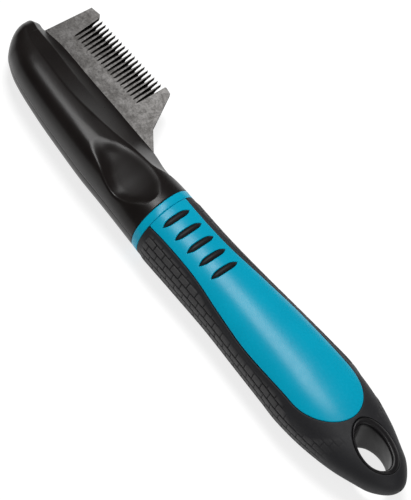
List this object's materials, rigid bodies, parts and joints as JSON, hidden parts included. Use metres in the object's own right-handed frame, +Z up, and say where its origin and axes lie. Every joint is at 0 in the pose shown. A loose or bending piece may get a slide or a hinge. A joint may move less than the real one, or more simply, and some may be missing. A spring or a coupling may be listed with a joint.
{
  "type": "dematting comb",
  "caption": "Knife-shaped pet dematting comb: a ground, toothed steel plate stands out of one side of a slim head, on a soft-grip handle with a hanging hole.",
  "frame": {"origin": "middle of the bounding box, on the surface that the comb lies on", "axes": "+X runs along the tool from the head to the hanging hole, +Y is the way the teeth point, +Z is up out of the front panel"},
  "size_m": [0.206, 0.0517, 0.0204],
  "materials": {
    "plate_steel": "blasted grey, with ground grooves",
    "pin_steel": "turned",
    "head_plastic": "satin black",
    "core_plastic": "satin black",
    "collar_blue": "polished blue",
    "panel_blue": "satin blue",
    "rib_rubber": "matt black",
    "grip_rubber": "matt charcoal with an embossed tile pattern"
  },
  "bodies": {
    "root": {"blade": "plate_steel", "blade_dowels": "pin_steel", "head_front_shell": "head_plastic", "head_back_shell": "head_plastic", "neck_pin": "pin_steel", "handle_core": "core_plastic", "collar": "collar_blue", "front_panel": "panel_blue", "rib_insert": "rib_rubber", "grip_sleeve": "grip_rubber"}
  },
  "joints": []
}
